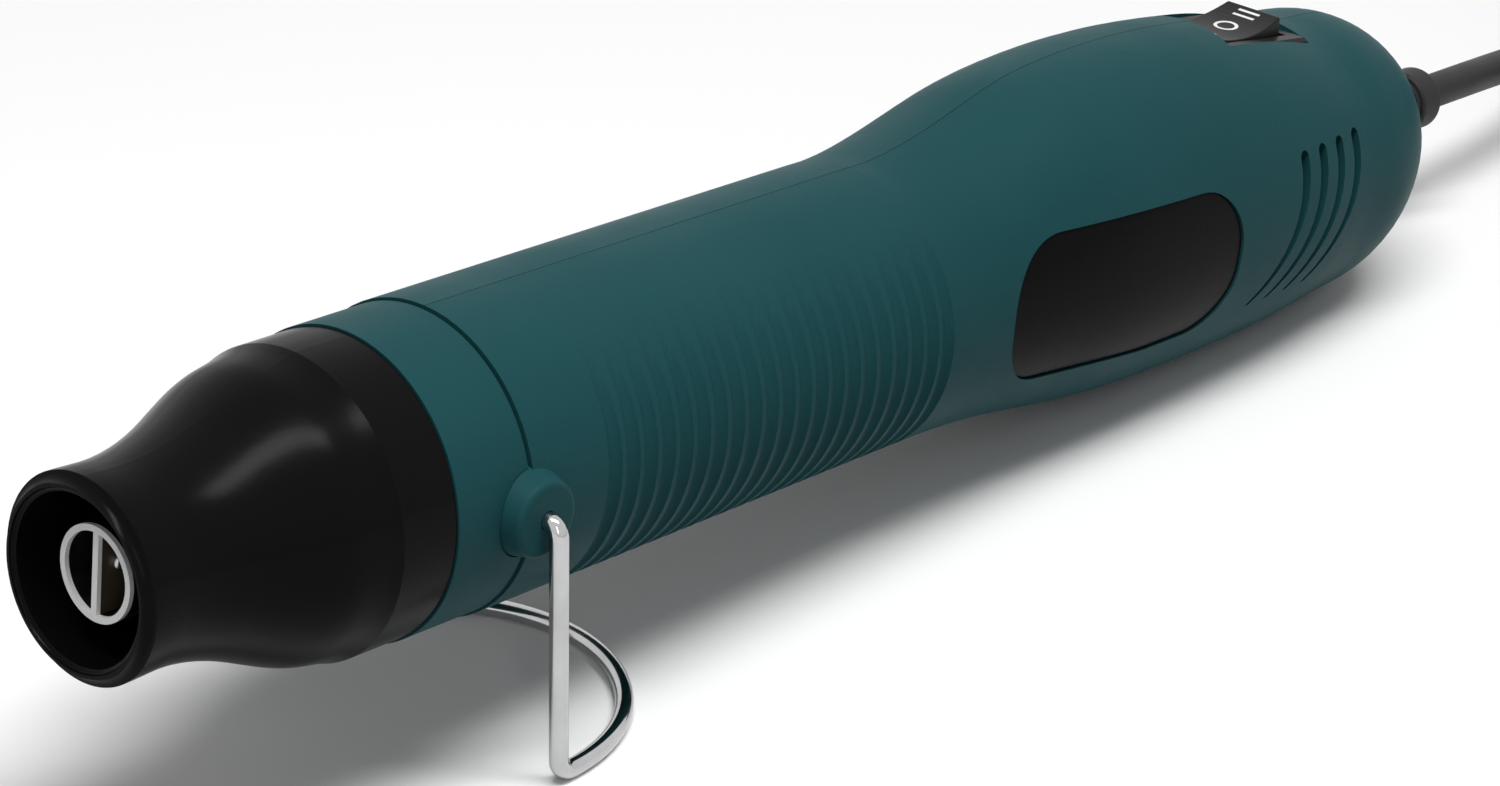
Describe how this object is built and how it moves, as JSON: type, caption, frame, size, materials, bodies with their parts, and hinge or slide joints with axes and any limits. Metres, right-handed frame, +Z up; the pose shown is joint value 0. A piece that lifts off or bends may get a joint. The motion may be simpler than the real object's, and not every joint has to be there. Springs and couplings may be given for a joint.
{
  "type": "embossing heat tool",
  "caption": "Slim hand-held hot-air tool with a ribbed moulded handle, a black nozzle, a swinging wire stand, a rocker switch on top and a coiled mains cord.",
  "frame": {"origin": "on the table, under the middle of the tool's box without its cord, with the tool standing on its wire foot and its belly", "axes": "+X from the nozzle towards the cord, +Y to the tool's right flank, +Z up from the table towards the switch"},
  "size_m": [0.4463, 0.0734, 0.0566],
  "materials": {
    "handle": "satin moulded dark teal",
    "inlay": "smooth black inlay",
    "nozzle_black": "glossy black enamel",
    "chrome_wire": "bright plated wire",
    "screw_steel": "zinc plated",
    "mica": "pale mica card",
    "element_wire": "bright resistance wire",
    "core_metal": "thin steel tube",
    "guard_white": "pale ceramic",
    "bright_tin": "tinned",
    "inner_black": "moulded black",
    "zinc_steel": "zinc plated steel",
    "magnet": "ferrite",
    "lamination": "laminated steel and copper",
    "cap_white": "moulded",
    "fan_grey": "moulded",
    "board": "paper board",
    "diode_black": "moulded",
    "switch_black": "satin black",
    "brass": "bright",
    "cord_rubber": "dark grey jacket",
    "core_white": "white insulation",
    "tie_black": "strap"
  },
  "bodies": {
    "tool": {"housing_left": "handle", "housing_right": "handle", "housing_screws": "screw_steel", "label_plate": "inlay", "front_collar": "handle", "nozzle": "nozzle_black", "mica_sleeve": "mica", "former_upright": "mica", "former_level": "mica", "heating_element": "element_wire", "core_tube": "core_metal", "core_guard": "guard_white", "core_rivet": "screw_steel", "thermal_cutout": "bright_tin", "thermal_fuse": "bright_tin", "heater_disc": "mica", "motor_bracket": "inner_black", "bracket_screws": "screw_steel", "motor_can": "zinc_steel", "motor_magnets": "magnet", "motor_end_cap": "cap_white", "rectifier_board": "board", "rectifier_diodes": "diode_black", "switch_frame": "switch_black", "switch_terminals": "brass", "strain_relief": "cord_rubber", "inner_cord": "cord_rubber", "cord_clamp": "inner_black", "clamp_screws": "screw_steel", "cord_cores": "core_white", "power_cord": "cord_rubber", "cord_coil": "cord_rubber", "cord_tie": "tie_black", "plug_body": "cord_rubber", "plug_blades": "brass"},
    "stand": {"stand": "chrome_wire"},
    "rocker": {"switch_rocker": "switch_black"},
    "rotor": {"fan": "fan_grey", "motor_shaft": "zinc_steel", "armature": "lamination"}
  },
  "joints": [
    {"name": "stand_swing", "type": "hinge", "parent": "tool", "child": "stand", "pos_m": [-0.08441, 0, 0.03578], "axis": [0, 1, 0], "range_deg": [-18, 112]},
    {"name": "rocker_tilt", "type": "hinge", "parent": "tool", "child": "rocker", "pos_m": [0.08234, 0, 0.04376], "axis": [0, 1, 0], "range_deg": [0, 20]},
    {"name": "fan_spin", "type": "hinge", "parent": "tool", "child": "rotor", "pos_m": [0.0198, 0, 0.02861], "axis": [0.9976, 0, -0.0687], "continuous": true}
  ]
}
